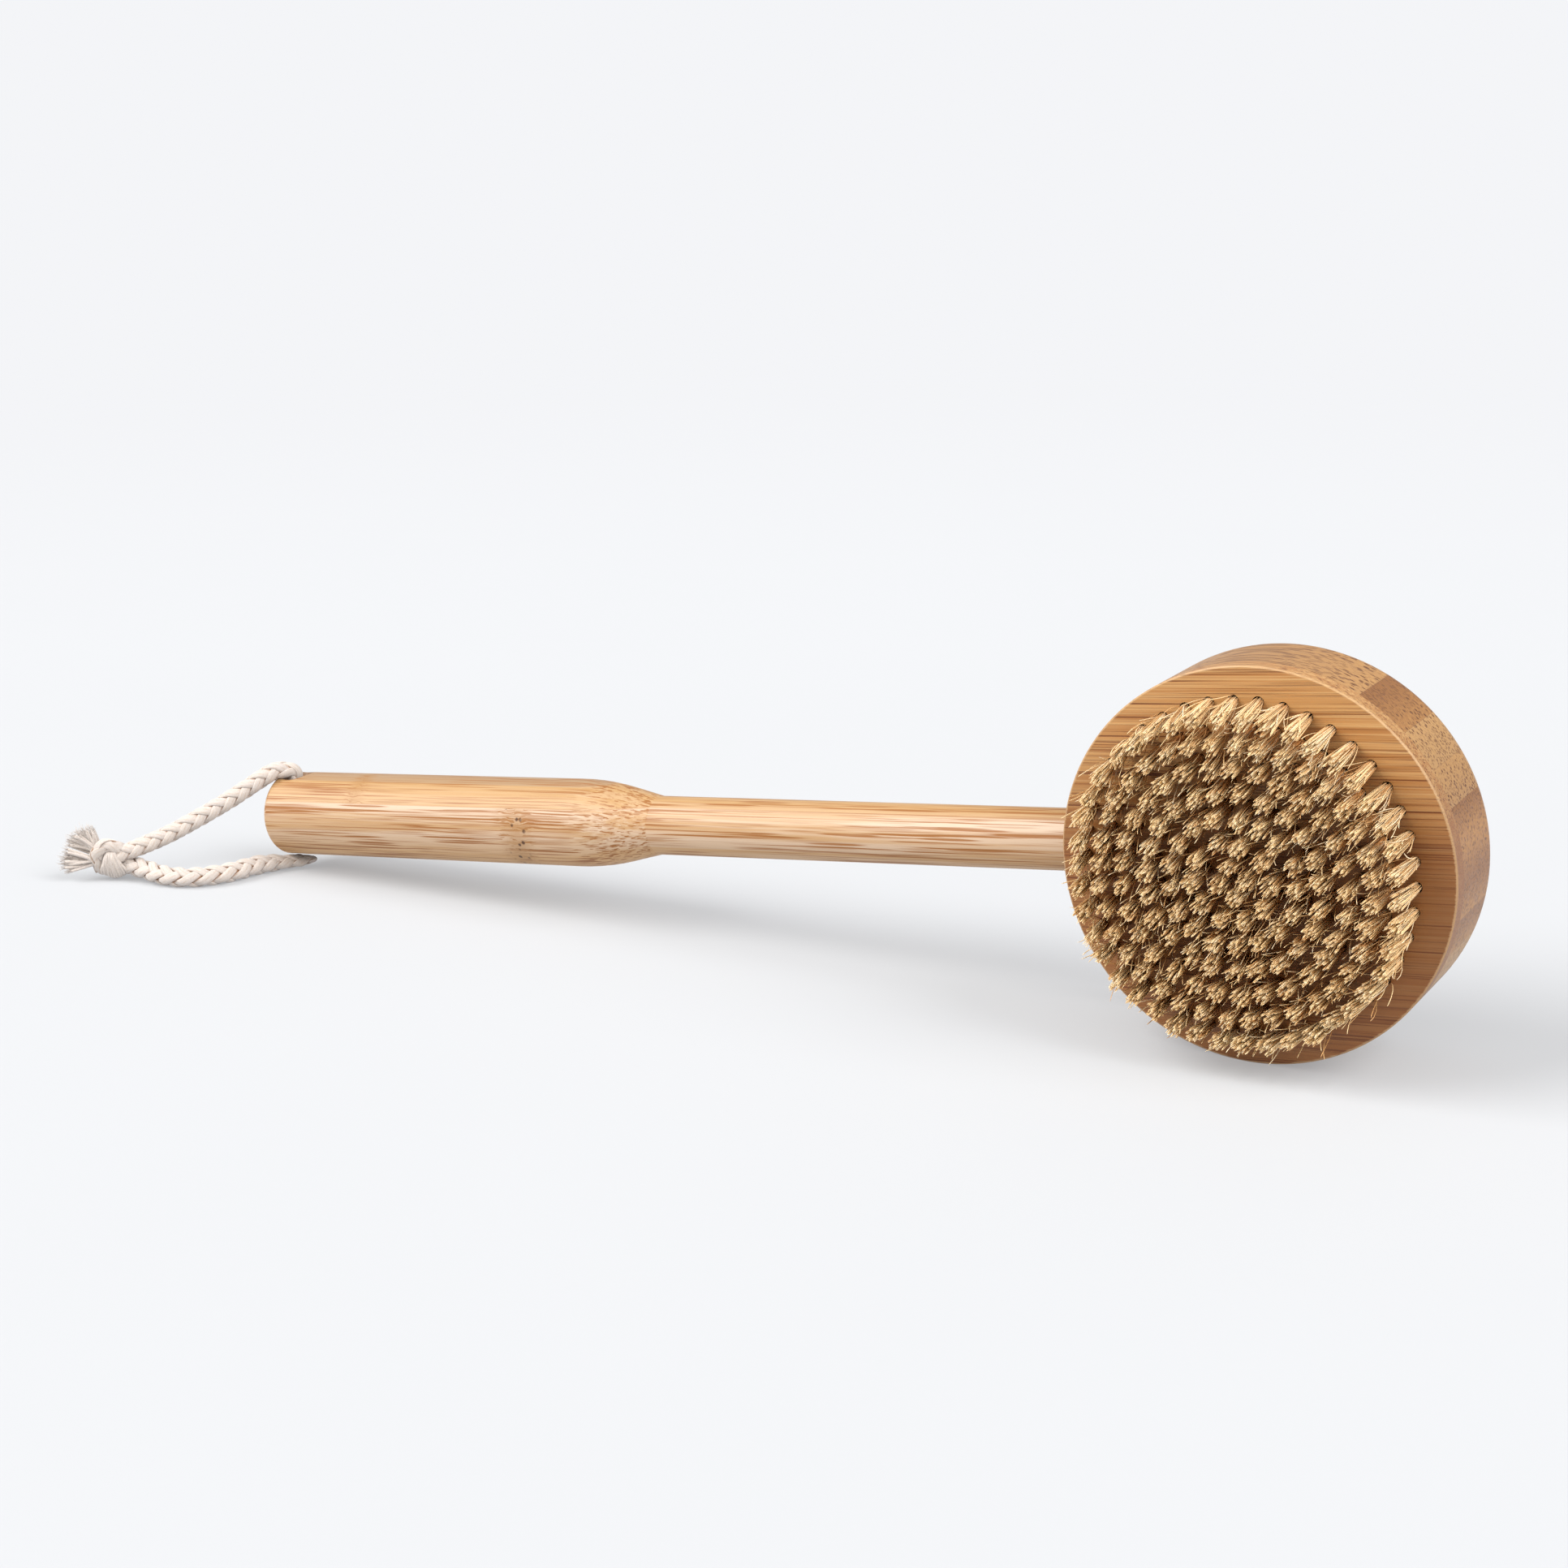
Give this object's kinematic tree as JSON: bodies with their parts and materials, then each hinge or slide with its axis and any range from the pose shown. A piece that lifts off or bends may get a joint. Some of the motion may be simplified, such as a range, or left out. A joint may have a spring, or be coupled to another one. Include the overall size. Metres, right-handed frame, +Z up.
{
  "type": "body dry brush",
  "caption": "Long-handled body brush: round laminated bamboo head with rings of natural bristle tufts, turned handle and a knotted cotton hanging loop.",
  "frame": {"origin": "middle of the bounding box of the wooden parts and tufts, at floor height", "axes": "+Z up from the floor the brush rests on; the head's axis lies along Y with the bristles towards -Y and the plain back towards +Y; the handle runs from the head (+X) down to the grip (-X), with a slope of 5.9 degrees"},
  "size_m": [0.4671, 0.0689, 0.11],
  "materials": {
    "bamboo_head": "laminated bamboo, satin clear coat",
    "bamboo_handle": "turned bamboo, satin clear coat",
    "bristle": "natural plant or boar bristle, pale cream",
    "anchor_wire": "flat anchor wire, hidden in the tuft holes",
    "cotton_cord": "soft off-white braided cotton"
  },
  "bodies": {
    "brush": {"head_face_ply": "bamboo_head", "head_back_block": "bamboo_head", "handle": "bamboo_handle", "tuft_ring_1": "bristle", "tuft_ring_2": "bristle", "tuft_ring_3": "bristle", "tuft_ring_4": "bristle", "tuft_ring_5": "bristle", "tuft_ring_6": "bristle", "tuft_ring_7": "bristle", "anchor_ring_1": "anchor_wire", "anchor_ring_2": "anchor_wire", "anchor_ring_3": "anchor_wire", "anchor_ring_4": "anchor_wire", "anchor_ring_5": "anchor_wire", "anchor_ring_6": "anchor_wire", "anchor_ring_7": "anchor_wire"},
    "loop": {"cord_bore_run": "cotton_cord", "cord_upper_leg": "cotton_cord", "cord_exit_pad": "cotton_cord", "cord_lower_leg": "cotton_cord", "cord_knot": "cotton_cord", "cord_tail_upper": "cotton_cord", "cord_tail_lower": "cotton_cord"}
  },
  "joints": [
    {"name": "loop_swing", "type": "hinge", "parent": "brush", "child": "loop", "pos_m": [-0.19726, 0.0132, 0.019], "axis": [-0.1032, 0, 0.9947], "range_deg": [-100, 30]}
  ]
}
